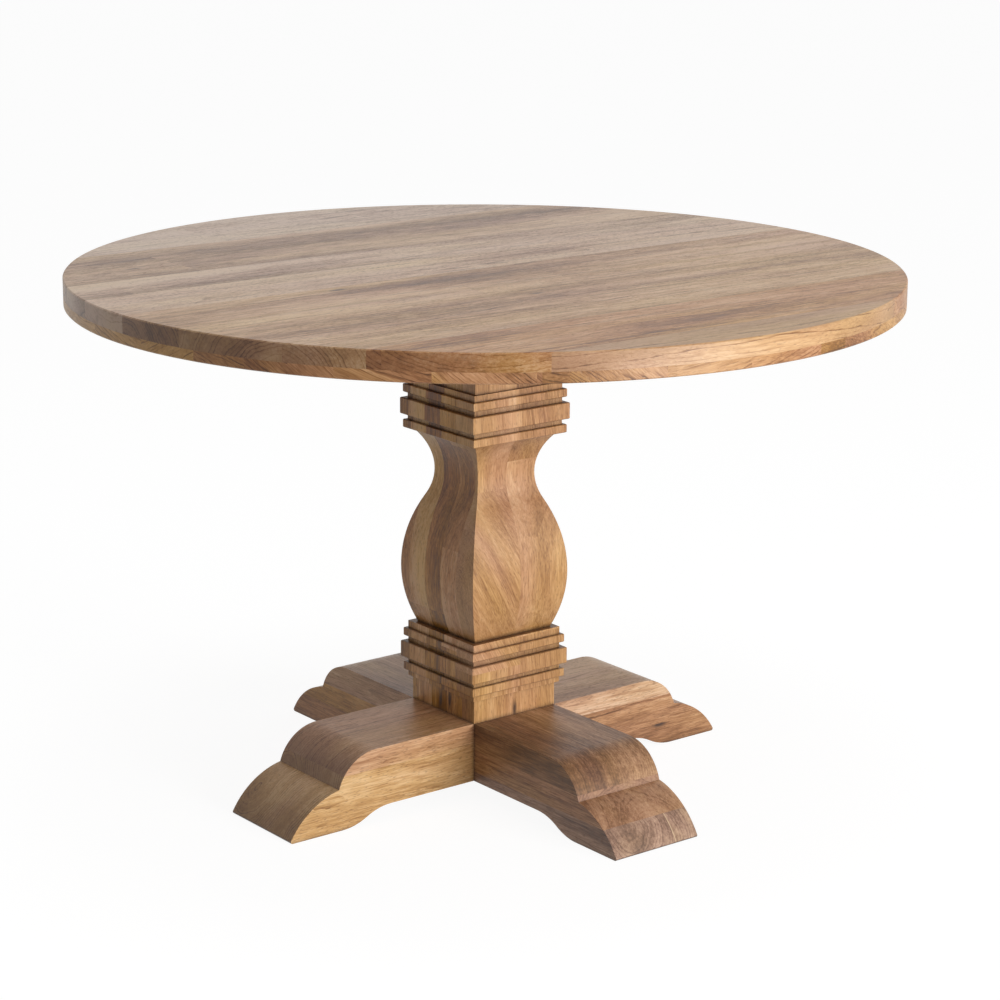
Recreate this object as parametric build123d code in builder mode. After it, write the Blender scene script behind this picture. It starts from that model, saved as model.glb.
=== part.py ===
"""Round pedestal dining table of solid mango wood, in millimetres.

Nine edge-glued boards make the round top, thickened round its edge by eight straight
boards mitred into an octagon and cut round with it. Two half-lapped arms under the top are
screwed to the head of a square column, which is laminated from upright boards and sawn to a
baluster shape between two stacks of flat mouldings. Below it, two laminated feet cross in a
half lap. The axes: +Z up, the floor at Z 0, the column on the Z axis, one foot along X
and the other along Y. The boards of the top run along Y.
"""

import os
from math import hypot, radians, tan

from build123d import *

# Table top
top_diameter = 1200
board_thickness = 25
left_board_width = 185  # widest part of the outermost boards
right_board_width = 80
inner_board_joints = (-220, -118, 0, 120, 275, 370)  # x of the glue lines between the others
rim_thickness = 15
rim_width = 100
rim_count = 8
rim_joint_angle = 14
edge_ease = 1.5

# Arms under the top
arm_reach = 340
arm_width = 70
arm_depth = 70
arm_tip_depth = 30
arm_taper_start = 150

# Column: the plinth is as wide as the feet, the rest stands out from it or is drawn in
neck_half = 52
bulb_foot_inset = 5
bulb_projection = 12.5
fillet_projection = 5
groove_projection = 5
band_projection = 10
belt_projection = 13
arris = 1  # taken off the sharp edges of bands and belts
plinth_height = 36
fillet_height = 9
band_height = 12.5
groove_height = 8
belt_height = 24.5
ledge_height = 11
bulb_rise = 86.5
neck_rise = 149
cove_rise = 59.5
head_height = 69
left_board_at_plinth = 9  # thickness of the outermost board on the left, which ends at the neck
right_board_at_neck = 5.5  # thickness of the one on the right, which runs through
inner_board_count = 3

# Feet
foot_reach = 400
foot_width = 150
foot_height = 110
toe_length = 85
toe_height = 62
toe_arc_radius = 120
toe_round = 3
shoulder_length = 65
pad_length = 90
arch_run = 86
arch_height = 22
over_foot_joints = (37, 70)  # z of the glue lines; the upper one is the lap
under_foot_joints = (35, 80)

# Coach screws that hold the column to the feet and to the arms
coach_radius = 5
coach_hole_radius = 5.5
coach_head_across_flats = 17
coach_head_height = 6.4
coach_bite = 24
pilot_clearance = 0.05
pilot_tip_room = 3
socket_radius = 12
base_screw_spacing = 76
base_socket_depth = 32
head_screw_radius = 54
head_socket_depth = 14

# Half widths of the column's square sections
plinth_half = foot_width / 2
cove_half = plinth_half
bulb_foot_half = plinth_half - bulb_foot_inset
bulb_half = plinth_half + bulb_projection
fillet_half = plinth_half + fillet_projection
groove_half = plinth_half + groove_projection
band_half = plinth_half + band_projection
belt_half = plinth_half + belt_projection

# Glue lines of the column: the inner boards share the room between the outermost ones
left_joint = left_board_at_plinth - plinth_half
inner_board_width = (neck_half - right_board_at_neck - left_joint) / inner_board_count
column_joints = [left_joint + number * inner_board_width for number in range(inner_board_count + 1)]

# Heights worked out from the sizes above
foot_lap = over_foot_joints[-1]
base_seat = arch_height + base_socket_depth
stack_height = 2 * (band_height + groove_height) + belt_height + fillet_height
bulb_foot = foot_height + plinth_height + stack_height + ledge_height
bulb_middle = bulb_foot + bulb_rise
neck = bulb_middle + neck_rise
cove_top = neck + cove_rise
head_foot = cove_top + stack_height
column_top = head_foot + head_height
arm_top = column_top + arm_depth
arm_lap = column_top + arm_depth / 2
rim_bottom = arm_top - rim_thickness
table_height = arm_top + board_thickness
head_seat = arm_top - head_socket_depth

top_radius = top_diameter / 2
reach_of_all = 2 * top_diameter  # larger than the table, for cutting tools

os.makedirs("parts", exist_ok=True)
finished = []


def keep(part, name):
    """Labels a finished piece and writes it as its own STEP file."""
    part.label = name
    export_step(part, f"parts/{name}.step")
    finished.append(part)


def slice_along(blank, axis, low, high):
    """The part of a blank that lies between two planes square to an axis."""
    middle = [0, 0, 0]
    size = [reach_of_all, reach_of_all, reach_of_all]
    index = "XYZ".index(axis)
    middle[index] = (low + high) / 2
    size[index] = high - low
    with BuildPart() as piece:
        add(blank)
        with Locations(tuple(middle)):
            Box(*size, mode=Mode.INTERSECT)
    return piece.part


def spans(joints, end):
    """Pairs of low and high limits of the boards that a row of glue lines makes."""
    limits = (-end, *joints, end)
    return list(zip(limits, limits[1:]))


# Top boards: a disc sawn along its glue lines
with BuildPart() as top_disc:
    with BuildSketch(Plane.XY.offset(arm_top)):
        Circle(top_radius)
    extrude(amount=board_thickness)
    chamfer(top_disc.faces().sort_by(Axis.Z)[-1].edges(), length=edge_ease)

outer_joints = (left_board_width - top_radius, top_radius - right_board_width)
board_joints = (outer_joints[0], *inner_board_joints, outer_joints[1])
for number, (low, high) in enumerate(spans(board_joints, top_radius), 1):
    keep(slice_along(top_disc.part, "X", low, high), f"top_board_{number}")


# Rim boards: straight inside, mitred at their ends, round outside
half_turn = 180 / rim_count
rim_inner = top_radius - rim_width
mitre_slope = tan(radians(half_turn))

with BuildPart() as rim_blank:
    with BuildSketch(Plane.XY.offset(rim_bottom)):
        Circle(top_radius)
        with BuildLine():
            Polyline(
                (rim_inner, -rim_inner * mitre_slope),
                (reach_of_all, -reach_of_all * mitre_slope),
                (reach_of_all, reach_of_all * mitre_slope),
                (rim_inner, rim_inner * mitre_slope),
                close=True,
            )
        make_face(mode=Mode.INTERSECT)
    extrude(amount=rim_thickness)
    outer_edges = rim_blank.faces().sort_by(Axis.Z)[0].edges().filter_by(GeomType.CIRCLE)
    chamfer(outer_edges, length=edge_ease)

for number in range(rim_count):
    turn = rim_joint_angle + (2 * number + 1) * half_turn
    with BuildPart() as rim_board:
        with Locations(Location((0, 0, 0), (0, 0, turn))):
            add(rim_blank.part)
    keep(rim_board.part, f"rim_board_{number + 1}")


# Arms: tapered towards their tips, half-lapped where they cross
def arm_side():
    """Side outline of an arm, with its length along the sketch's X."""
    with BuildSketch() as side:
        with BuildLine():
            Polyline(
                (0, arm_top),
                (arm_reach, arm_top),
                (arm_reach, arm_top - arm_tip_depth),
                (arm_taper_start, column_top),
                (0, column_top),
                close=True,
            )
        make_face()
        mirror(about=Plane.YZ)
    return side.sketch


def arm(plane, screws, lap_low, lap_high):
    """An arm drilled for its coach screws, with the lap cut out between two heights."""
    with BuildPart() as piece:
        with BuildSketch(plane):
            add(arm_side())
        extrude(amount=arm_width / 2, both=True)
        with Locations((0, 0, (lap_low + lap_high) / 2)):
            Box(arm_width, arm_width, lap_high - lap_low, mode=Mode.SUBTRACT)
        with Locations(*[(x, y, arm_top) for x, y in screws]):
            CounterBoreHole(coach_hole_radius, socket_radius, head_socket_depth)
    return piece.part


over_arm_screws = [(-head_screw_radius, 0), (head_screw_radius, 0)]
under_arm_screws = [(0, -head_screw_radius), (0, head_screw_radius)]
keep(arm(Plane.XZ, over_arm_screws, column_top, arm_lap), "over_arm")
keep(arm(Plane.YZ, under_arm_screws, arm_lap, arm_top), "under_arm")


# Column: the same outline sawn from two sides, then parted at its glue lines
def moulding_levels(foot, halves_and_heights):
    """Corner points of a stack of flat mouldings, from its foot upwards."""
    points = []
    level = foot
    for half, height in halves_and_heights:
        top = level + height
        if half > fillet_half:
            points += [(half - arris, level), (half, level + arris)]
            points += [(half, top - arris), (half - arris, top)]
        else:
            points += [(half, level), (half, top)]
        level = top
    return points


def column_side():
    """Side outline of the column. Three tangent arcs make the baluster."""
    cove_radius = hypot(cove_half - neck_half, cove_rise) ** 2 / (2 * (cove_half - neck_half))
    swell = bulb_half - neck_half
    both_radii = hypot(swell, neck_rise) ** 2 / (2 * swell)
    upper_radius = both_radii - cove_radius
    share = upper_radius / both_radii
    bend = (
        bulb_half - upper_radius + share * (both_radii - swell),
        bulb_middle + share * neck_rise,
    )
    lower_stack = moulding_levels(
        foot_height,
        [
            (plinth_half, plinth_height),
            (fillet_half, fillet_height),
            (band_half, band_height),
            (groove_half, groove_height),
            (belt_half, belt_height),
            (groove_half, groove_height),
            (band_half, band_height),
            (fillet_half, ledge_height),
        ],
    )
    upper_stack = moulding_levels(
        cove_top,
        [
            (band_half, band_height),
            (groove_half, groove_height),
            (belt_half, belt_height),
            (groove_half, groove_height),
            (band_half, band_height),
            (fillet_half, fillet_height),
            (plinth_half, head_height),
        ],
    )
    with BuildSketch() as side:
        with BuildLine():
            Polyline((0, foot_height), *lower_stack, (bulb_foot_half, bulb_foot))
            TangentArc((bulb_half, bulb_middle), (bulb_foot_half, bulb_foot), tangent=(0, -1))
            TangentArc((bulb_half, bulb_middle), bend, tangent=(0, 1))
            TangentArc((neck_half, neck), bend, tangent=(0, -1))
            TangentArc((neck_half, neck), (cove_half, cove_top), tangent=(0, 1))
            Polyline((cove_half, cove_top), *upper_stack, (0, column_top), (0, foot_height))
        make_face()
        mirror(about=Plane.YZ)
    return side.sketch


with BuildPart() as column:
    with BuildSketch(Plane.XZ):
        add(column_side())
    extrude(amount=belt_half, both=True)
    with BuildSketch(Plane.YZ):
        add(column_side())
    extrude(amount=belt_half, both=True, mode=Mode.INTERSECT)
    with Locations(Plane((0, 0, foot_height), z_dir=(0, 0, -1))):
        with GridLocations(base_screw_spacing, base_screw_spacing, 2, 2):
            Hole(coach_radius + pilot_clearance, depth=coach_bite + pilot_tip_room)
    with Locations((0, 0, column_top)):
        with PolarLocations(head_screw_radius, 4):
            Hole(coach_radius + pilot_clearance, depth=coach_bite + pilot_tip_room)

for number, (low, high) in enumerate(spans(column_joints, belt_half), 1):
    lengths = slice_along(column.part, "X", low, high).solids().sort_by(Axis.Z)
    for place, length in zip(("lower", "upper"), lengths):
        suffix = f"_{place}" if len(lengths) > 1 else ""
        with BuildPart() as column_board:
            add(length)
        keep(column_board.part, f"column_board_{number}{suffix}")


# Feet: two laminated beams of one outline, crossing in a half lap
def foot_side():
    """Side outline of a foot, with its length along the sketch's X."""
    notch = (foot_reach - toe_length, toe_height)
    shoulder = (notch[0] - shoulder_length, foot_height)
    pad = (foot_reach - pad_length, 0)
    arch = (pad[0] - arch_run, arch_height)
    arch_middle = ((pad[0] + arch[0]) / 2, arch_height / 2)
    toe = (foot_reach, 0)
    with BuildSketch() as side:
        with BuildLine():
            Line((0, foot_height), shoulder)
            TangentArc(shoulder, notch, tangent=(1, 0))
            RadiusArc(notch, toe, toe_arc_radius)
            Line(toe, pad)
            TangentArc(pad, arch_middle, tangent=(-1, 0))
            TangentArc(arch, arch_middle, tangent=(1, 0))
            Polyline(arch, (0, arch_height), (0, foot_height))
        make_face()
        fillet(side.vertices().sort_by(Axis.X)[-1], radius=toe_round)
        mirror(about=Plane.YZ)
    return side.sketch


def foot(plane):
    """A whole foot, bored up from below for the coach screws and their sockets."""
    with BuildPart() as beam:
        with BuildSketch(plane):
            add(foot_side())
        extrude(amount=foot_width / 2, both=True)
        with Locations(Plane((0, 0, arch_height), z_dir=(0, 0, -1))):
            with GridLocations(base_screw_spacing, base_screw_spacing, 2, 2):
                CounterBoreHole(coach_hole_radius, socket_radius, base_socket_depth)
    return beam.part


over_foot = foot(Plane.XZ)
under_foot = foot(Plane.YZ)
lap_half = foot_width / 2

over_sole_top, over_middle_top = over_foot_joints
keep(slice_along(over_foot, "Z", over_middle_top, foot_height), "over_foot_top_board")
for side_name, low, high in (("left", -foot_reach, -lap_half), ("right", lap_half, foot_reach)):
    arm_of_foot = slice_along(over_foot, "X", low, high)
    middle_board = slice_along(arm_of_foot, "Z", over_sole_top, over_middle_top)
    keep(middle_board, f"over_foot_middle_board_{side_name}")
    keep(slice_along(arm_of_foot, "Z", 0, over_sole_top), f"over_foot_sole_{side_name}")

under_sole_top, under_middle_top = under_foot_joints
for side_name, low, high in (("front", -foot_reach, -lap_half), ("back", lap_half, foot_reach)):
    arm_of_foot = slice_along(under_foot, "Y", low, high)
    top_layer = slice_along(arm_of_foot, "Z", under_middle_top, foot_height)
    keep(top_layer, f"under_foot_top_board_{side_name}")
with BuildPart() as under_foot_middle_board:
    add(slice_along(under_foot, "Z", under_sole_top, under_middle_top))
    with Locations((0, 0, foot_lap)):
        Box(
            foot_width,
            foot_width,
            foot_height,
            align=(Align.CENTER, Align.CENTER, Align.MIN),
            mode=Mode.SUBTRACT,
        )
keep(under_foot_middle_board.part, "under_foot_middle_board")
keep(slice_along(under_foot, "Z", 0, under_sole_top), "under_foot_sole")


# Coach screws: one group, made where they sit, up through the feet and down through the arms
half_spacing = base_screw_spacing / 2
base_places = [(x, y) for x in (-half_spacing, half_spacing) for y in (-half_spacing, half_spacing)]
head_places = over_arm_screws + under_arm_screws

with BuildPart() as coach_screws:
    for places, seat, far_side, into in (
        (base_places, base_seat, foot_height, 1),
        (head_places, head_seat, column_top, -1),
    ):
        for x, y in places:
            with BuildSketch(Plane((x, y, seat), z_dir=(0, 0, into))):
                Circle(coach_radius)
            extrude(amount=abs(far_side - seat) + coach_bite)
            with BuildSketch(Plane((x, y, seat), z_dir=(0, 0, -into))):
                RegularPolygon(coach_head_across_flats / 2, 6, major_radius=False)
            extrude(amount=coach_head_height)
keep(coach_screws.part, "coach_screws")

print(f"{len(finished)} pieces, table height {table_height:g}, column top {column_top:g}")
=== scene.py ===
# %% [markdown]
# # A round pedestal table in mango wood
#
# The table is all wood: a round top of edge-glued boards on a square baluster column, which
# stands on two crossed feet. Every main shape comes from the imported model, so this lesson is
# about what makes wood look like wood: grain that runs through the solid, boards that differ
# from their neighbours, a thin matt lacquer, and light from one side.

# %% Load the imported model
import math

import bmesh
import bpy
from mathutils import Matrix, Vector


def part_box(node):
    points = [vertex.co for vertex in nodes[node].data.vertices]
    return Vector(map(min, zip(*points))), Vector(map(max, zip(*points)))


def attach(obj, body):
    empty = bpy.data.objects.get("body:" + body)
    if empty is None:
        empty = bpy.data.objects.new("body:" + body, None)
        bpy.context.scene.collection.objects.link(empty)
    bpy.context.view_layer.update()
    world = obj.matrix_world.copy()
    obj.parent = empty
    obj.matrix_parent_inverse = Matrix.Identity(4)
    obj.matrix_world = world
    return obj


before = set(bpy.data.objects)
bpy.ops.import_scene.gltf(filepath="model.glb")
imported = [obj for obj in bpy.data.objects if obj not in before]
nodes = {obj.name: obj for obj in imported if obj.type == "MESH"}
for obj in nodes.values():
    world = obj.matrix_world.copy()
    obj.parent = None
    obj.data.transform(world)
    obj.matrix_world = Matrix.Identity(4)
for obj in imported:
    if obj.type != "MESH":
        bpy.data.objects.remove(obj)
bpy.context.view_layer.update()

# %% [markdown]
# ## Camera
#
# The view is from a little above table height, with a long lens, so the upright edges stay
# almost parallel. A corner of the column points towards us, so that two of its faces show.
# The lens shift moves the picture on the film without turning the camera, which keeps the
# upright edges upright.

# %% Camera
TURN = math.radians(52.211)
TILT = math.radians(15.129)
ROLL = math.radians(0.259)
TARGET = Vector((0.0, 0.0, 0.39344))
DISTANCE = 4.07007
SENSOR, LENS = 36.0, 99.73  # millimetres
SHIFT_RIGHT, SHIFT_UP = 0.0159, 0.0178  # shares of the picture's width

back = Vector((math.sin(TURN) * math.cos(TILT), -math.cos(TURN) * math.cos(TILT), math.sin(TILT)))
level_right = Vector((math.cos(TURN), math.sin(TURN), 0.0))
level_up = back.cross(level_right)
right = level_right * math.cos(ROLL) + level_up * math.sin(ROLL)
up = level_up * math.cos(ROLL) - level_right * math.sin(ROLL)

camera_data = bpy.data.cameras.new("camera")
camera_data.sensor_width = SENSOR
camera_data.lens = LENS
camera_data.shift_x = SHIFT_RIGHT
camera_data.shift_y = SHIFT_UP
camera = bpy.data.objects.new("camera", camera_data)
bpy.context.scene.collection.objects.link(camera)
facing = Matrix((right, up, back)).transposed().to_4x4()
camera.matrix_world = Matrix.Translation(TARGET + back * DISTANCE) @ facing
bpy.context.scene.camera = camera
print("camera", DISTANCE, "m from the middle of the table")

# %% [markdown]
# ## Adding nodes
#
# A shader is a graph of nodes. One small function adds a node, sets its properties and fills
# its inputs: a number or a colour goes straight into the socket, and another node, or one of
# its outputs, is linked to it. Colours are written as sRGB hex values, as a paint program
# shows them, and are turned into the linear values that the renderer works with.

# %% Helpers for nodes and colours
def add(tree, kind, inputs=None, **settings):
    """Adds a shader node, sets its properties and fills or links its inputs."""
    node = tree.nodes.new("ShaderNode" + kind)
    for name, value in settings.items():
        setattr(node, name, value)
    for key, value in (inputs or {}).items():
        if isinstance(value, bpy.types.Node):
            value = value.outputs[0]
        if isinstance(value, bpy.types.NodeSocket):
            tree.links.new(value, node.inputs[key])
        else:
            node.inputs[key].default_value = value
    return node


def colour(hex_value):
    """Turns an sRGB hex value into linear red, green, blue and alpha."""
    channels = [int(hex_value[i:i + 2], 16) / 255 for i in (0, 2, 4)]
    linear = [c / 12.92 if c <= 0.04045 else ((c + 0.055) / 1.055) ** 2.4 for c in channels]
    return (*linear, 1.0)


def new_material(name):
    """An empty material and its node tree."""
    material = bpy.data.materials.new(name)
    material.use_nodes = True
    material.node_tree.nodes.clear()
    return material, material.node_tree


print("linear value of a mid tan:", [round(c, 3) for c in colour("b48c64")])

# %% [markdown]
# ## Room: a white sweep, and light from the right
#
# The table stands in a white studio. A large soft lamp on the right lights the faces on that
# side, and the white room fills in the rest. The room has two brightnesses: what the camera
# and reflections see is white, and what lights the wood is dimmer, so that the shaded faces
# stay dark.

# %% World
AMBIENT = 0.355

scene = bpy.context.scene
scene.view_settings.view_transform = "Standard"
world = bpy.data.worlds.new("white studio")
scene.world = world
world.use_nodes = True
tree = world.node_tree
tree.nodes.clear()
path = add(tree, "LightPath").outputs
seen = add(tree, "Math", {0: path["Is Camera Ray"], 1: path["Is Glossy Ray"]}, operation="MAXIMUM")
seen = add(tree, "Math", {0: seen, 1: path["Is Transmission Ray"]}, operation="MAXIMUM")
strength = add(tree, "MapRange", {"Value": seen, "To Min": AMBIENT, "To Max": 1.0})
background = add(tree, "Background", {"Color": colour("ffffff"), "Strength": strength})
add(tree, "OutputWorld", {"Surface": background})
print("room light for the wood:", AMBIENT)

# %% [markdown]
# The floor is painted a matt pale grey. What the camera sees of it is mostly a white glow, and
# a little of a plain matt surface is added to that, which holds the table's soft shadow. A studio
# has a curved paper sweep, but a wide plane under a white sky has no seam to hide either. From
# below the floor is clear, so that the underside of the table can be looked at too.

# %% Floor
FLOOR_SIZE = 60.0
FLOOR_GAP = 0.0004  # metres below the soles, so that the two don't share a plane
FLOOR_GLOW = 0.92  # with the light on the matt surface, this comes to white

bpy.ops.mesh.primitive_plane_add(size=FLOOR_SIZE, location=(0, 0, -FLOOR_GAP))
floor = bpy.context.object
floor.name = "floor"
material, tree = new_material("studio floor, matt pale grey paint")
path = add(tree, "LightPath").outputs
seen = add(tree, "Math", {0: path["Is Camera Ray"], 1: path["Is Glossy Ray"]}, operation="MAXIMUM")
matt = add(tree, "BsdfDiffuse", {"Color": colour("c4c4c4")})
glow = add(tree, "Emission", {"Color": colour("ffffff"), "Strength": FLOOR_GLOW})
shadow_holder = add(tree, "BsdfDiffuse", {"Color": colour("696969")})
white = add(tree, "AddShader", {0: glow, 1: shadow_holder})
paint = add(tree, "MixShader", {0: seen, 1: matt, 2: white})
from_below = add(tree, "NewGeometry").outputs["Backfacing"]
clear = add(tree, "BsdfTransparent")
one_way = add(tree, "MixShader", {0: from_below, 1: paint, 2: clear})
add(tree, "OutputMaterial", {"Surface": one_way})
floor.data.materials.append(material)
print("floor", tuple(floor.dimensions))

# %% [markdown]
# An area lamp's power says little by itself, because the light on the table falls with the
# square of the distance. So each lamp has a level: at level 1, a white card at the table that
# faces the lamp looks just white. The low key lamp on the right does most of the work, and the
# lamp overhead lifts the top a little.

# %% Lamps
AIM = Vector((0, 0, 0.45))

for name, direction, distance, size, level in (
    ("key lamp", (1.0, 0.18, 0.09), 5.0, 2.4, 1.10),
    ("overhead lamp", (0.0, 0.0, 1.0), 4.0, 1.6, 0.165),
):
    data = bpy.data.lights.new(name, "AREA")
    data.shape = "SQUARE"
    data.size = size
    data.energy = level * math.pi ** 2 * distance ** 2
    lamp = bpy.data.objects.new(name, data)
    scene.collection.objects.link(lamp)
    lamp.location = AIM + Vector(direction).normalized() * distance
    lamp.rotation_euler = (lamp.location - AIM).to_track_quat("Z", "Y").to_euler()
    print(name, "with", round(data.energy), "W")

# %% [markdown]
# ## Mango wood as a solid
#
# A board is cut out of a trunk, so its pattern isn't wrapped on it: it runs through. The rings
# are tubes round the heart of the trunk. Where a face cuts them lengthwise they show as long
# lines, at a low angle as pointed arches, and straight across as arcs. So the pattern is worked
# out from each point's place in the board: how far it is from the heart, with a slow waviness
# along the trunk. Noise that is stretched along the grain adds zones, smoky streaks, flecks,
# fibres and short dark pores.
#
# All sizes are in millimetres. Real fibres and pores are a few tenths of a millimetre wide,
# which is finer than a pixel here, so they are drawn about five times as coarse.

# %% Sizes of the pattern in millimetres: across, across, along the grain
PATTERNS = {  # with the detail of the noise
    "wave": ((75.0, 75.0, 340.0), 2.0),  # bends the rings
    "ripple": ((12.0, 12.0, 60.0), 2.0),  # roughens their lines
    "zone": ((72.0, 72.0, 480.0), 2.5),  # light and dark parts of the trunk
    "lean": ((60.0, 60.0, 380.0), 1.0),  # pinker or more golden parts
    "smoke": ((10.0, 10.0, 170.0), 3.0),  # soft dark streaks
    "fleck": ((4.5, 4.5, 32.0), 1.0),  # short shimmering flecks
    "fibre": ((1.8, 1.8, 36.0), 2.0),
    "pore": ((1.4, 1.4, 7.0), 0.0),
}
BEND_DEPTHS = {"wave": 24.0, "ripple": 5.0}  # how far the rings are moved
print(len(PATTERNS), "patterns:", ", ".join(PATTERNS))

# %% [markdown]
# ### What a board can set
#
# All boards share one group of nodes. Its inputs are what differs from board to board: where
# the point is, where the heart and a knot are, and the tone, colour and staves of the board.
# It gives back a colour, a height for the relief and a roughness.

# %% Group of nodes
wood = bpy.data.node_groups.new("mango wood", "ShaderNodeTree")
for kind, names in (
    ("Vector", ("Place", "Heart", "Knot")),
    ("Float", ("Ring", "Tone", "Gold", "Grey", "Contrast", "Lines", "Streaks", "Slant")),
    ("Float", ("Stave", "Stave start", "Length", "Length start", "Difference", "Glue")),
    ("Float", ("End grain", "Ends", "Seed")),
):
    for name in names:
        wood.interface.new_socket(name, in_out="INPUT", socket_type="NodeSocket" + kind)
for kind, name in (("Color", "Color"), ("Float", "Height"), ("Float", "Roughness")):
    wood.interface.new_socket(name, in_out="OUTPUT", socket_type="NodeSocket" + kind)
given = wood.nodes.new("NodeGroupInput").outputs
result = wood.nodes.new("NodeGroupOutput").inputs
print("a board can set", len(given) - 1, "inputs")

# %% [markdown]
# ### Staves
#
# Wide and long boards of mango are glued up from shorter staves, side by side and end to end.
# They could be solids of their own, but their joints are sanded flush and can't be felt, so they
# are drawn: the place is cut into staves, and each takes its own tone and its own spot in the
# trunk from a random number. Neighbouring rows of staves are shifted, as bricks are.

# %% The stave that a point is in
ROW_SHIFT = 0.85  # of a stave's length, from one row to the next
SPOT_SPREAD = (70.0, 70.0, 1500.0)  # staves come from this much of the trunk

xyz = add(wood, "SeparateXYZ", {0: given["Place"]}).outputs
from_start = add(wood, "Math", {0: xyz["X"], 1: given["Stave start"]}, operation="ADD")
stave_place = add(wood, "Math", {0: from_start, 1: given["Stave"]}, operation="DIVIDE")
stave = add(wood, "Math", {0: stave_place}, operation="FLOOR")
row_shift = add(wood, "Math", {0: stave, 1: ROW_SHIFT}, operation="MULTIPLY")
row = add(wood, "Math", {0: xyz["Z"], 1: given["Length start"]}, operation="ADD")
row = add(wood, "Math", {0: row, 1: given["Length"]}, operation="DIVIDE")
row = add(wood, "Math", {0: row, 1: row_shift}, operation="ADD")
row = add(wood, "Math", {0: row}, operation="FLOOR")
cell = add(wood, "CombineXYZ", {0: stave, 1: row, 2: given["Seed"]})
chance = add(wood, "TexWhiteNoise", {"Vector": cell}, noise_dimensions="3D").outputs
spot = add(wood, "VectorMath", {0: chance["Color"], 1: (0.5, 0.5, 0.5)}, operation="SUBTRACT")
spot = add(wood, "VectorMath", {0: spot, 1: SPOT_SPREAD}, operation="MULTIPLY")
spot = add(wood, "VectorMath", {0: spot, "Scale": given["Difference"]}, operation="SCALE")
place = add(wood, "VectorMath", {0: given["Place"], 1: spot}, operation="ADD")
print("staves drawn with", len(wood.nodes), "nodes so far")

# %% Fibres at a slant to the stave's edges, and the glue line between two staves
GLUE_LINE = (0.4, 1.2)  # millimetres from the joint: full, gone. Wide enough to show

chances = add(wood, "SeparateXYZ", {0: chance["Color"]}).outputs
slant = add(wood, "MapRange", {"Value": chances["Y"], "To Min": -1.0, "To Max": 1.0})
slant = add(wood, "Math", {0: slant, 1: 3.0}, operation="POWER")  # most run nearly straight
slant = add(wood, "Math", {0: slant, 1: given["Slant"]}, operation="MULTIPLY")
slant = add(wood, "Math", {0: slant, 1: xyz["Z"]}, operation="MULTIPLY")
slant = add(wood, "CombineXYZ", {0: slant})
place = add(wood, "VectorMath", {0: place, 1: slant}, operation="ADD")

edge = add(wood, "Math", {0: stave_place, 1: 0.5}, operation="PINGPONG")
edge = add(wood, "Math", {0: edge, 1: given["Stave"]}, operation="MULTIPLY")
glue_line = add(wood, "MapRange", {
    "Value": edge, "From Min": GLUE_LINE[0], "From Max": GLUE_LINE[1], "To Min": 1.0, "To Max": 0.0,
})
print("glue line", 2 * GLUE_LINE[1], "mm wide with its soft edges")

# %% [markdown]
# ### Rings
#
# The distance from the heart, divided by the width of a ring, numbers the rings. Each year's
# growth starts pale and ends in a thin dark line. The lines differ in strength, as good and bad
# years do, so every ring takes its own from a random number, and the smoky noise breaks them up.

# %% Noises, each at its own place in the trunk
SEED_STEP = 937.0  # millimetres along the trunk from one seed to the next

seed_shift = add(wood, "CombineXYZ", {2: given["Seed"]})
seed_shift = add(wood, "VectorMath", {0: seed_shift, "Scale": SEED_STEP}, operation="SCALE")
trunk = add(wood, "VectorMath", {0: place, 1: seed_shift}, operation="ADD")
noises = {}
for name, (size, detail) in PATTERNS.items():
    scaled = add(wood, "VectorMath", {0: trunk, 1: size}, operation="DIVIDE")
    settings = {"Vector": scaled, "Scale": 1.0, "Detail": detail}
    noises[name] = add(wood, "TexNoise", settings).outputs
print(len(noises), "noises")

# %% Rings round the heart
LATE_WOOD = 0.62  # the dark line takes the rest of the ring

spoke = add(wood, "VectorMath", {0: place, 1: given["Heart"]}, operation="SUBTRACT")
for name, depth in BEND_DEPTHS.items():
    middle = {0: noises[name]["Color"], 1: (0.5, 0.5, 0.5)}
    bend = add(wood, "VectorMath", middle, operation="SUBTRACT")
    bend = add(wood, "VectorMath", {0: bend, "Scale": depth}, operation="SCALE")
    spoke = add(wood, "VectorMath", {0: spoke, 1: bend}, operation="ADD")
spoke = add(wood, "VectorMath", {0: spoke, 1: (1.0, 1.0, 0.0)}, operation="MULTIPLY")
radius = add(wood, "VectorMath", {0: spoke}, operation="LENGTH").outputs["Value"]
ring_number = add(wood, "Math", {0: radius, 1: given["Ring"]}, operation="DIVIDE")
ring_place = add(wood, "CombineXYZ", {0: ring_number, 1: given["Seed"]})
year_runs = {"Vector": ring_place, "Scale": 0.45, "Detail": 1.5}  # runs of about two good years
years = add(wood, "TexNoise", year_runs)
this_ring = add(wood, "Math", {0: ring_number}, operation="FLOOR")
this_ring = add(wood, "CombineXYZ", {0: this_ring, 1: given["Seed"]})
ring_chance = add(wood, "TexWhiteNoise", {"Vector": this_ring}, noise_dimensions="2D")
line = add(wood, "Math", {0: ring_number}, operation="FRACT")
line = add(wood, "MapRange", {"Value": line, "From Min": LATE_WOOD, "From Max": 1.0})
line = add(wood, "Math", {0: line, 1: ring_chance.outputs["Value"]}, operation="MULTIPLY")
broken = add(wood, "MapRange", {"Value": noises["smoke"][0], "From Min": 0.36, "From Max": 0.60})
broken = add(wood, "Math", {0: broken, 1: given["End grain"]}, operation="MAXIMUM")
line = add(wood, "Math", {0: line, 1: broken}, operation="MULTIPLY")
line = add(wood, "Math", {0: line, 1: given["Lines"]}, operation="MULTIPLY")
print("rings drawn with", len(wood.nodes), "nodes so far")

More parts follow.
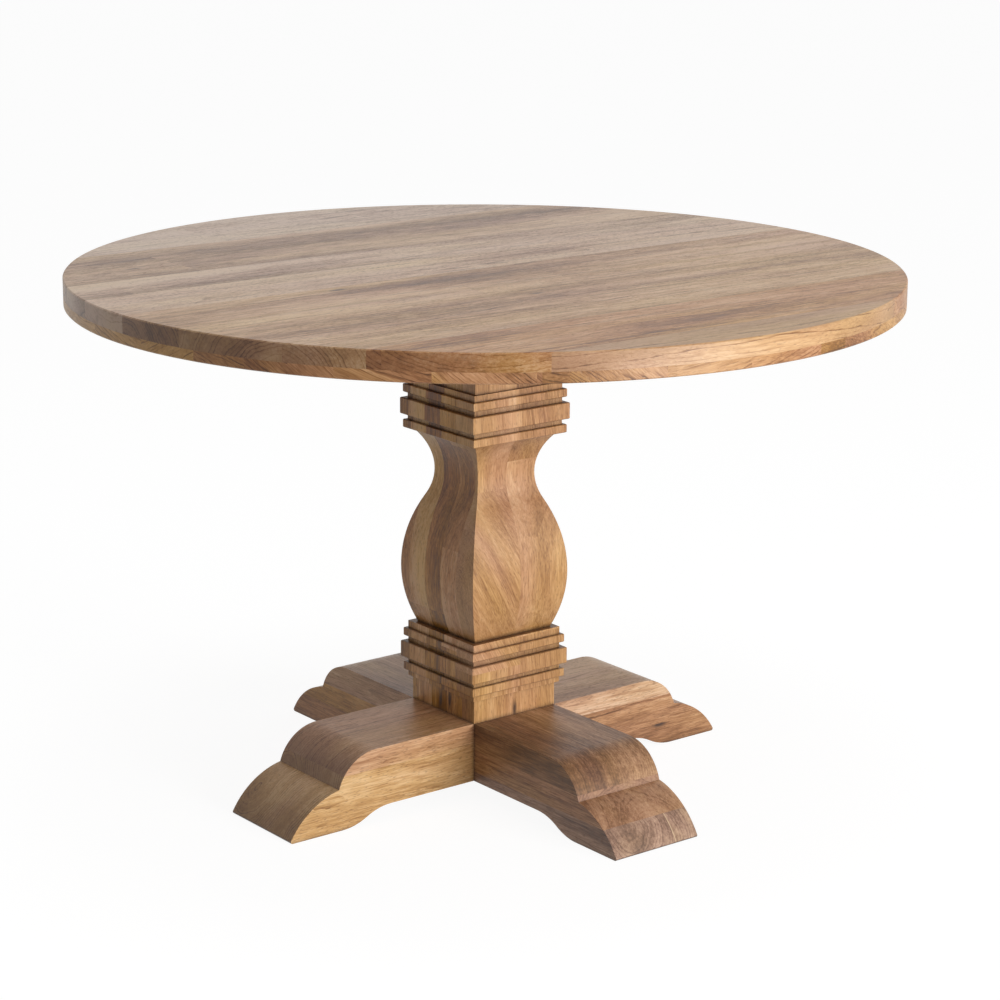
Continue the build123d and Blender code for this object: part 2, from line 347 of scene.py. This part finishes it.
# %% [markdown]
# ### Colour of the wood
#
# The shade is a sum: the board's own tone, its stave's, the years, the zone, the flecks and the
# fibres, less the dark line of the ring. Two ramps turn it into colour, because mango leans to
# pink in some places and to gold in others, and some boards are greyer than others. One ramp
# with more colours couldn't do that, because light and dark wood lean both ways.

# %% Shade
MID_SHADE = 0.58  # where tone 0 sits on the ramps
STAVE_TONE = 0.5  # how far the tones of two staves can differ
END_FIBRES = 0.25  # share of the fibres and pores that shows on end grain

shade = add(wood, "Math", {0: chance["Value"], 1: 0.5}, operation="SUBTRACT")
shade = add(wood, "Math", {0: shade, 1: given["Difference"]}, operation="MULTIPLY")
shade = add(wood, "Math", {0: shade, 1: STAVE_TONE, 2: given["Tone"]}, operation="MULTIPLY_ADD")
long_grain = {"Value": given["End grain"], "To Min": 1.0, "To Max": END_FIBRES}
long_grain = add(wood, "MapRange", long_grain)
fine = add(wood, "Math", {0: noises["fibre"][0], 1: 0.5}, operation="SUBTRACT")
fine = add(wood, "Math", {0: fine, 1: long_grain, 2: 0.5}, operation="MULTIPLY_ADD")
weights = [(years, 0.5), (noises["zone"][0], 1.3), (noises["fleck"][0], 0.45), (fine, 0.8)]
for pattern, weight in weights:
    centred = add(wood, "Math", {0: pattern, 1: 0.5}, operation="SUBTRACT")
    centred = add(wood, "Math", {0: centred, 1: given["Contrast"]}, operation="MULTIPLY")
    shade = add(wood, "Math", {0: centred, 1: weight, 2: shade}, operation="MULTIPLY_ADD")
shade = add(wood, "Math", {0: shade, 1: line}, operation="SUBTRACT")
shade = add(wood, "Math", {0: shade, 1: MID_SHADE}, operation="ADD")
print("shade from", len(weights), "patterns and the rings")

# %% Two colour ramps, from dark to light
RAMP_STOPS = (0.28, 0.55, 0.78)  # of the three colours between the ends
STAVE_LEAN = 0.6  # how far two staves can lean apart, to pink or to gold

ramps = {}
for name, hex_values in (
    ("pink", ("5a3820", "875b3a", "ae7f5a", "c2956f", "d4ad8a")),
    ("gold", ("60401c", "8e6331", "b28752", "c69c66", "dab584")),
):
    ramps[name] = add(wood, "ValToRGB", {0: shade})
    stops = ramps[name].color_ramp.elements
    stops[0].color, stops[1].color = colour(hex_values[0]), colour(hex_values[-1])
    for position, hex_value in zip(RAMP_STOPS, hex_values[1:-1]):
        stops.new(position).color = colour(hex_value)
lean = add(wood, "Math", {0: chances["Z"], 1: 0.5}, operation="SUBTRACT")
lean = add(wood, "Math", {0: lean, 1: given["Difference"]}, operation="MULTIPLY")
lean = add(wood, "Math", {0: lean, 1: STAVE_LEAN, 2: given["Gold"]}, operation="MULTIPLY_ADD")
lean = add(wood, "Math", {0: lean, 1: noises["lean"][0]}, operation="ADD")
lean = add(wood, "MapRange", {"Value": lean, "From Min": 0.3, "From Max": 0.7})
tinted = add(wood, "MixRGB", {0: lean, 1: ramps["pink"], 2: ramps["gold"]})
saturation = add(wood, "Math", {0: 1.0, 1: given["Grey"]}, operation="SUBTRACT")
tinted = add(wood, "HueSaturation", {"Saturation": saturation, "Color": tinted})
print(len(ramps), "ramps of", len(RAMP_STOPS) + 2, "colours")

# %% [markdown]
# ### Dark marks, cut ends and glue
#
# Pores are the cut vessels of the tree, and show as short dark dashes along the grain. Streaks
# are wood that a fungus has stained, and a knot is the root of a branch. All are worked out in
# the solid too, so they go on over an edge of the board, which a picture laid on it wouldn't do.
# A face that cuts across the fibres takes up more finish and looks darker, and there the pores
# are points too small to see. Glue shows as a pale line, where a board asks for it.

# %% Pores and streaks
PORE_SHARE, MARKS_LIMIT = 0.36, 0.8

crowded = {0: noises["zone"][0], 1: -0.3, 2: noises["pore"][0]}  # more pores in dark zones
crowded = add(wood, "Math", crowded, operation="MULTIPLY_ADD")
pores = add(wood, "MapRange", {"Value": crowded, "From Min": 0.46, "From Max": 0.58})
pores = add(wood, "Math", {0: pores, 1: long_grain}, operation="MULTIPLY")
pores = add(wood, "Math", {0: pores, 1: given["Contrast"]}, operation="MULTIPLY")
streaks = add(wood, "MapRange", {"Value": noises["smoke"][0], "From Min": 0.52, "From Max": 0.82})
streaks = add(wood, "Math", {0: streaks, 1: given["Streaks"]}, operation="MULTIPLY")
marks = add(wood, "Math", {0: pores, 1: PORE_SHARE, 2: streaks}, operation="MULTIPLY_ADD")
marks = add(wood, "Math", {0: marks, 1: MARKS_LIMIT}, operation="MINIMUM")
marked = add(wood, "MixRGB", {0: marks, 1: tinted, 2: colour("5c3616")})
print("pores", PATTERNS["pore"][0][0], "mm wide")

# %% A knot, cut ends and glue
KNOT_RADIUS = (5.5, 9.5)  # millimetres: dark, gone
KNOT_STRETCH = (1.0, 1.0, 0.3)  # longer along the grain
KNOT_RAGGED = 8.0  # millimetres
CUT_POWER = 1.6  # faces at a low angle to the fibres darken little

to_knot = add(wood, "VectorMath", {0: given["Place"], 1: given["Knot"]}, operation="SUBTRACT")
to_knot = add(wood, "VectorMath", {0: to_knot, 1: KNOT_STRETCH}, operation="MULTIPLY")
to_knot = add(wood, "VectorMath", {0: to_knot}, operation="LENGTH").outputs["Value"]
ragged = {0: noises["ripple"][0], 1: KNOT_RAGGED, 2: to_knot}
to_knot = add(wood, "Math", ragged, operation="MULTIPLY_ADD")
knot = add(wood, "MapRange", {
    "Value": to_knot, "From Min": KNOT_RADIUS[0], "From Max": KNOT_RADIUS[1],
    "To Min": 0.9, "To Max": 0.0,
})
knotted = add(wood, "MixRGB", {0: knot, 1: marked, 2: colour("35221a")})

cut = add(wood, "Math", {0: given["End grain"], 1: CUT_POWER}, operation="POWER")
cut = add(wood, "Math", {0: cut, 1: given["Ends"]}, operation="MULTIPLY")
darkened = {0: cut, 1: knotted, 2: colour("6e4c36")}
darkened = add(wood, "MixRGB", darkened, blend_type="MULTIPLY")
glued = add(wood, "Math", {0: glue_line, 1: given["Glue"]}, operation="MULTIPLY")
finished = add(wood, "MixRGB", {0: glued, 1: darkened, 2: colour("d8bc98")})
print("knot", round(2 * KNOT_RADIUS[1] / KNOT_STRETCH[2]), "mm long at most")

# %% [markdown]
# ### Relief and gloss
#
# Under a thin lacquer the pores stay a little open and the fibres can just be felt. Modelling
# that would take millions of faces, so a bump stands in for it. The pores are also rougher than
# the fibres, which breaks up the sheen.

# %% Relief and gloss
PORE_DEPTH = 0.7  # against the height of the fibres
PORE_ROUGHNESS, FIBRE_ROUGHNESS = 0.46, 0.34  # typical of matt and of satin lacquer

height = {0: pores, 1: -PORE_DEPTH, 2: noises["fibre"][0]}
height = add(wood, "Math", height, operation="MULTIPLY_ADD")
rough = {"Value": height, "To Min": PORE_ROUGHNESS, "To Max": FIBRE_ROUGHNESS}
rough = add(wood, "MapRange", rough)
wood.links.new(finished.outputs[0], result["Color"])
wood.links.new(height.outputs[0], result["Height"])
wood.links.new(rough.outputs[0], result["Roughness"])
print("mango wood group:", len(wood.nodes), "nodes")

# %% [markdown]
# ## A board and its finish
#
# Each board has its own material, because no two boards of the table come from the same place
# in a trunk. It says which way the board lies, where the heart of its trunk would be, and how
# light and how golden it is. The finish is the same for all: sanded, and a thin matt lacquer,
# which gives a broad soft sheen at a low angle and keeps the colour of the wood elsewhere. In the
# corners the wood is darkened with painted shade, which an ambient occlusion node finds. Lacquers
# bend light with an index of 1.45 to 1.5.

# %% Function that finishes one board
X, Y, Z = Vector((1, 0, 0)), Vector((0, 1, 0)), Vector((0, 0, 1))
FAR = 9000.0  # millimetres: out of reach of any board
# the corners are darkened with painted shade, where little open air is found within this reach
CORNER_REACH = 0.008  # metres
CORNER_SHADE = {"From Min": 0.25, "From Max": 0.87, "To Min": 0.93, "To Max": 0.0}  # by open air
RELIEF = {"Strength": 0.22, "Distance": 0.0006}  # metres
LACQUER_IOR = 1.45
PLAIN_BOARD = {
    "Heart": (0, -90, 0), "Ring": 5.0, "Contrast": 1.0, "Lines": 0.3, "Streaks": 0.35,
    "Stave": FAR, "Stave start": FAR / 2, "Length": FAR, "Length start": FAR / 2,
    "Knot": (FAR, 0, 0), "Ends": 0.55,
}


def finish_board(name, across, along, **board):
    """Gives a board its mango wood. Across and along are directions in the table."""
    material, tree = new_material("mango wood, sanded, matt lacquer, " + name)
    coordinates = add(tree, "TexCoord").outputs
    place = add(tree, "Mapping", {
        "Vector": coordinates["Object"], "Scale": (1000, 1000, 1000),
        "Rotation": Matrix((across, along.cross(across), along)).to_euler(),
    })
    end_grain = {0: coordinates["Normal"], 1: along}
    end_grain = add(tree, "VectorMath", end_grain, operation="DOT_PRODUCT").outputs["Value"]
    end_grain = add(tree, "Math", {0: end_grain}, operation="ABSOLUTE")
    board = {key.replace("_", " "): value for key, value in board.items()}
    inputs = {**PLAIN_BOARD, **board, "Place": place, "End grain": end_grain}
    pattern = add(tree, "Group", inputs, node_tree=wood).outputs
    # painted shade: corners, and soles close to the floor, are drawn towards dark brown 2e1c10
    open_air = add(tree, "AmbientOcclusion", {"Distance": CORNER_REACH}, samples=6).outputs["AO"]
    painted_corner_shade = add(tree, "MapRange", {"Value": open_air, **CORNER_SHADE})
    with_corner_shade = add(tree, "MixRGB", {0: painted_corner_shade, 1: pattern["Color"], 2: colour("2e1c10")})
    relief = add(tree, "Bump", {"Height": pattern["Height"], **RELIEF})
    lacquer = add(tree, "BsdfPrincipled", {
        "Base Color": with_corner_shade, "Roughness": pattern["Roughness"], "IOR": LACQUER_IOR,
        "Normal": relief,
    })
    add(tree, "OutputMaterial", {"Surface": lacquer})
    nodes[name].data.materials.clear()
    nodes[name].data.materials.append(material)


print("stain reaches", 1000 * CORNER_REACH, "mm out of a corner")

# %% [markdown]
# ## The boards
#
# The tables below hold what was chosen for each board: its tone, where 0 is the middle
# of the ramp, its lean to pink or gold, how grey it is, and how dark its ends are. Hearts and
# knots are places in the table, in millimetres from the middle of the floor under it: across
# the board, through it and along it. Seeds were picked for the staves that they give.
#
# The top comes first. Its boards lie along Y, and are sawn far from the heart, so that their
# faces show long quiet lines and their ends show shallow arcs on the table's edge.

# %% Top boards: tone, gold, grey, ends
# grey falls from board 1 on the left towards board 9: partly the boards' own grey, and partly
# painted sheen, as the lacquer's reflection looks greyer to the left and back
top_looks = [
    (0.33, -0.12, 0.33, 0.55), (0.02, -0.08, 0.18, 0.45), (0.25, -0.06, 0.22, 0.45),
    (0.48, -0.08, 0.18, 0.42), (0.05, -0.04, 0.06, 0.66), (0.07, 0.0, 0.06, 0.66),
    (0.14, 0.06, 0.04, 0.76), (0.0, -0.14, -0.13, 1.0), (0.12, 0.06, 0.04, 1.0),
]
top_hearts = {5: (-70, -690), 6: (85, -690), 7: (-75, -700)}  # aside of the board, minus height
top_knots = {2: (-290, -410), 5: (20, -270), 6: (200, -65)}  # across and along
CALM_BOARD = 9  # with little figure
TABLE_HEIGHT = 765.0
for number, (tone, gold, grey, ends) in enumerate(top_looks, 1):
    low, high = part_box(f"top_board_{number}")
    middle = 1000 * (low.x + high.x) / 2
    # most hearts are about 100 mm above the board, to one side and the other by turns
    aside, through = top_hearts.get(number, ((-1) ** number * 30, -850 - 5 * number))
    x, y = top_knots.get(number, (FAR, 0))
    calm = number == CALM_BOARD
    finish_board(
        f"top_board_{number}", X, Y, Heart=(middle + aside, through, 0), Tone=tone, Gold=gold,
        Grey=grey, Ends=ends, Difference=0.12, Length=900, Length_start=170 * number,
        Contrast=0.7 if calm else 1.4, Lines=0.7, Streaks=0.1 if calm else 0.4,
        Knot=(x, -TABLE_HEIGHT, y), Seed=10 + number,
    )
print(len(top_looks), "top boards")

# %% [markdown]
# The rim boards are short and glued up from offcuts, whose grain runs at all angles. So their
# staves are short, and slant across the edge of the table as a hatching.

# %% Rim boards: tone, gold, seed
rim_looks = [
    (-0.02, 0.0, 31), (0.03, 0.05, 32), (0.0, 0.0, 33), (0.02, -0.04, 34),
    (-0.02, 0.04, 35), (-0.01, 0.40, 36), (-0.12, -0.20, 202.0625), (-0.14, 0.06, 38),
]
for number, (tone, gold, seed) in enumerate(rim_looks, 1):
    low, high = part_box(f"rim_board_{number}")
    outward = ((low + high) / 2 * Vector((1, 1, 0))).normalized()
    finish_board(
        f"rim_board_{number}", Z, Z.cross(outward), Heart=(690, 520, 0), Ring=4.0, Tone=tone,
        Gold=gold, Grey=-0.04, Difference=0.5, Length=125, Length_start=40 * number, Slant=1.0,
        Lines=0.9, Streaks=0.2, Seed=seed,
    )
print(len(rim_looks), "rim boards")

# %% [markdown]
# The column's boards stand upright. On its left face they show as strips of different tones,
# which are jointed in their length, and the board on the right shows its whole face: two staves
# side by side, one with slanting fibres.

# %% Column boards
# the seeds and stave lengths of boards 2, 3 and 4 make their staves at the plinth darker, and board
# 5's seed darkens its neck and head: painted shade, where the feet and the top keep light off
column_looks = {
    "column_board_1_lower": dict(
        Tone=0.0, Grey=-0.1, Length=260, Length_start=-2, Heart=(25, 120, 0), Seed=203,
    ),
    "column_board_1_upper": dict(Tone=-0.04, Grey=-0.1, Heart=(-25, 120, 0), Seed=51),
    "column_board_2": dict(
        Tone=0.16, Gold=0.05, Grey=-0.1, Length=260, Length_start=-2, Heart=(25, 120, 0),
        Seed=195.25,
    ),
    "column_board_3": dict(
        Tone=-0.23, Grey=-0.15, Length=260, Length_start=-2, Heart=(-25, 120, 0),
        Knot=(-75, 6, 124), Seed=238.5,
    ),
    "column_board_4": dict(
        Tone=0.20, Gold=0.07, Grey=-0.12, Length=150, Length_start=-65, Heart=(25, 120, 0),
        Difference=1.0, Knot=(-75, -16, 130), Seed=183.5,
    ),
    "column_board_5": dict(
        Tone=0.03, Gold=0.0, Grey=-0.03, Heart=(40, -20, 0), Difference=0.4, Contrast=0.9,
        Lines=0.2, Stave=90, Stave_start=90, Length=260, Length_start=70, Slant=0.7,
        Knot=(0, -75, 118), Seed=386.47265625,
    ),
}
column_common = dict(Difference=0.6, Contrast=1.3, Lines=0.4, Streaks=0.2)
for name, looks in column_looks.items():
    finish_board(name, Y, Z, **{**column_common, **looks})
print(len(column_looks), "column boards")

# %% [markdown]
# The feet are three boards thick. The heart of each board is close by, so that the toes show
# round arcs, and the sides show lines. The middle and bottom boards of one foot have the same
# heart and seed, as if they were sawn from one plank.

# %% Foot boards
one_plank = dict(
    Tone=0.14, Heart=(-45, -30, 0), Lines=0.9, Length=800, Length_start=0, Difference=0.8,
    Ends=0.76, Seed=29.5,
)
foot_looks = {
    "over_foot_top_board": dict(
        Tone=-0.11, Grey=0.1, Heart=(-140, 95, 0), Ends=0.0, Lines=0.3, Length=800,
        Length_start=0, Difference=0.4, Seed=9.75,
    ),
    "over_foot_middle_board_left": dict(Tone=0.06, Grey=-0.12, Heart=(10, 20, 0), Seed=71),
    "over_foot_middle_board_right": dict(
        Tone=-0.06, Gold=-0.12, Grey=0.06, Heart=(10, 0, 0), Ends=0.35, Lines=0.35, Seed=72,
    ),
    "over_foot_sole_left": dict(Tone=0.11, Grey=-0.12, Heart=(-20, 20, 0), Seed=73),
    "over_foot_sole_right": dict(
        Tone=-0.16, Gold=-0.1, Grey=0.25, Heart=(-30, 24, 0), Lines=0.35, Ends=0.0, Stave=200,
        Stave_start=165, Glue=0.6, Difference=0.3, Seed=74,
    ),
    "under_foot_top_board_front": dict(
        Tone=0.08, Gold=-0.12, Heart=(160, -60, 0), Ends=0.87, Seed=75,
    ),
    "under_foot_top_board_back": dict(Tone=0.24, Grey=0.08, Heart=(-20, -160, 0), Seed=76),
    "under_foot_middle_board": one_plank,
    "under_foot_sole": dict(one_plank, Knot=(75, -33, 285)),
}
foot_common = dict(Ring=4.5, Contrast=1.1, Lines=0.6, Streaks=0.15)
for name, looks in foot_looks.items():
    across, along = (Y, X) if name.startswith("over") else (X, Y)
    finish_board(name, across, along, **{**foot_common, **looks})
print(len(foot_looks), "foot boards")

# %% [markdown]
# The two arms under the top are hidden in use, and are plain boards of the same wood.

# %% Arms
arms = (("over_arm", Y, X, (30, 640, 0)), ("under_arm", X, Y, (30, -640, 0)))
for name, across, along, heart in arms:
    finish_board(name, across, along, Heart=heart, Ring=6.0, Tone=-0.05, Seed=90)
print(len(arms), "arms")

# %% [markdown]
# ## Screws
#
# Eight zinc-plated coach screws hold the column, deep in their sockets, and eight small wood
# screws under the arms hold the top. Zinc plating is a grey metal with a fine crystal mottle,
# so its roughness varies a little from patch to patch, which gives the eye a soft, uneven
# shine. Real crystals are a tenth of a millimetre across, and are drawn ten times as coarse.

# %% Zinc-plated steel
MOTTLE = 1.0  # millimetres

zinc, tree = new_material("zinc-plated steel")
coordinates = add(tree, "TexCoord").outputs
mottle = {"Vector": coordinates["Object"], "Scale": 1000 / MOTTLE, "Detail": 2.0}
mottle = add(tree, "TexNoise", mottle)
rough = add(tree, "MapRange", {"Value": mottle, "To Min": 0.28, "To Max": 0.46})
tint = add(tree, "MixRGB", {0: mottle, 1: colour("a9adb0"), 2: colour("c2c5c4")})
metal = add(tree, "BsdfPrincipled", {"Base Color": tint, "Roughness": rough, "Metallic": 1.0})
add(tree, "OutputMaterial", {"Surface": metal})
nodes["coach_screws"].data.materials.clear()
nodes["coach_screws"].data.materials.append(zinc)
print("zinc with a mottle of", MOTTLE, "mm")

# %% [markdown]
# A wood screw's head is a turned dome with a cross punched into it. A cutter and a boolean
# would do, but the outline is simple enough to build: a stack of rings makes the dome, its flat
# top is filled round the outline of the cross, and the outline is then carried down to make the
# recess.

# %% One screw head, in millimetres
HEAD_PROFILE = [(4.5, -0.3), (4.5, 0.9), (4.2, 1.9), (3.6, 2.5), (2.9, 2.7)]  # radius and height
HEAD_SIDES = 24
CROSS_REACH, CROSS_HALF, CROSS_DEPTH = 2.2, 0.45, 1.6
CROSS_DRAFT = 0.7  # size of the recess at its bottom


def screw_head(mesh, place):
    """Adds one cross-recessed pan head to a mesh. It points along +Z of the place matrix."""
    angles = [2 * math.pi * i / HEAD_SIDES for i in range(HEAD_SIDES)]
    rings = []
    for radius, height in HEAD_PROFILE:
        points = [(radius * math.cos(a), radius * math.sin(a), height) for a in angles]
        rings.append([mesh.verts.new(point) for point in points])
    for low, high in zip(rings, rings[1:]):
        for i in range(HEAD_SIDES):
            j = (i + 1) % HEAD_SIDES
            mesh.faces.new((low[i], low[j], high[j], high[i]))
    mesh.faces.new(rings[0][::-1])
    corner = ((CROSS_HALF, -CROSS_HALF), (CROSS_REACH, -CROSS_HALF), (CROSS_REACH, CROSS_HALF))
    outline = []
    for quarter in range(4):
        turn = Matrix.Rotation(quarter * math.pi / 2, 3, "Z")
        outline += [turn @ Vector((x, y, 0)) for x, y in corner]
    top = HEAD_PROFILE[-1][1]
    lip = [mesh.verts.new((v.x, v.y, top)) for v in outline]
    drop = Vector((0, 0, top - CROSS_DEPTH))
    pit = [mesh.verts.new(v * CROSS_DRAFT + drop) for v in outline]
    edges = [mesh.edges.get((rings[-1][i - 1], rings[-1][i])) for i in range(HEAD_SIDES)]
    edges += [mesh.edges.new((lip[i - 1], lip[i])) for i in range(len(lip))]
    bmesh.ops.triangle_fill(mesh, use_beauty=True, edges=edges, normal=(0, 0, 1))
    for i in range(len(lip)):
        mesh.faces.new((lip[i - 1], pit[i - 1], pit[i], lip[i]))
    mesh.faces.new(pit)
    added = [v for ring in rings for v in ring] + lip + pit
    bmesh.ops.transform(mesh, matrix=place, verts=added)


print("screw head", 2 * HEAD_PROFILE[0][0], "mm across")

# %% Wood screws under the arms
ARM_PLACES = [(300, 20), (300, -20), (-300, 20), (-300, -20)]  # along and across an arm
ARM_UNDERSIDE = 701.58  # at that distance along the arm
SLOPE = math.atan2(40, 190)  # rise of the underside, from the column to the tip
TO_METRES = Matrix.Scale(0.001, 4)

mesh = bmesh.new()
for arm_turn in (0.0, math.pi / 2):
    for along_arm, across_arm in ARM_PLACES:
        side = math.copysign(1, along_arm)
        lean_out = Matrix.Rotation(side * (math.pi - SLOPE), 4, "Y")
        seat = Matrix.Translation((along_arm, across_arm, ARM_UNDERSIDE)) @ lean_out
        screw_head(mesh, TO_METRES @ Matrix.Rotation(arm_turn, 4, "Z") @ seat)
bmesh.ops.recalc_face_normals(mesh, faces=mesh.faces)
data = bpy.data.meshes.new("arm_screws")
mesh.to_mesh(data)
mesh.free()
arm_screws = bpy.data.objects.new("arm_screws", data)
scene.collection.objects.link(arm_screws)
data.materials.append(zinc)
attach(arm_screws, "root")
print("wood screws with", len(data.polygons), "faces")
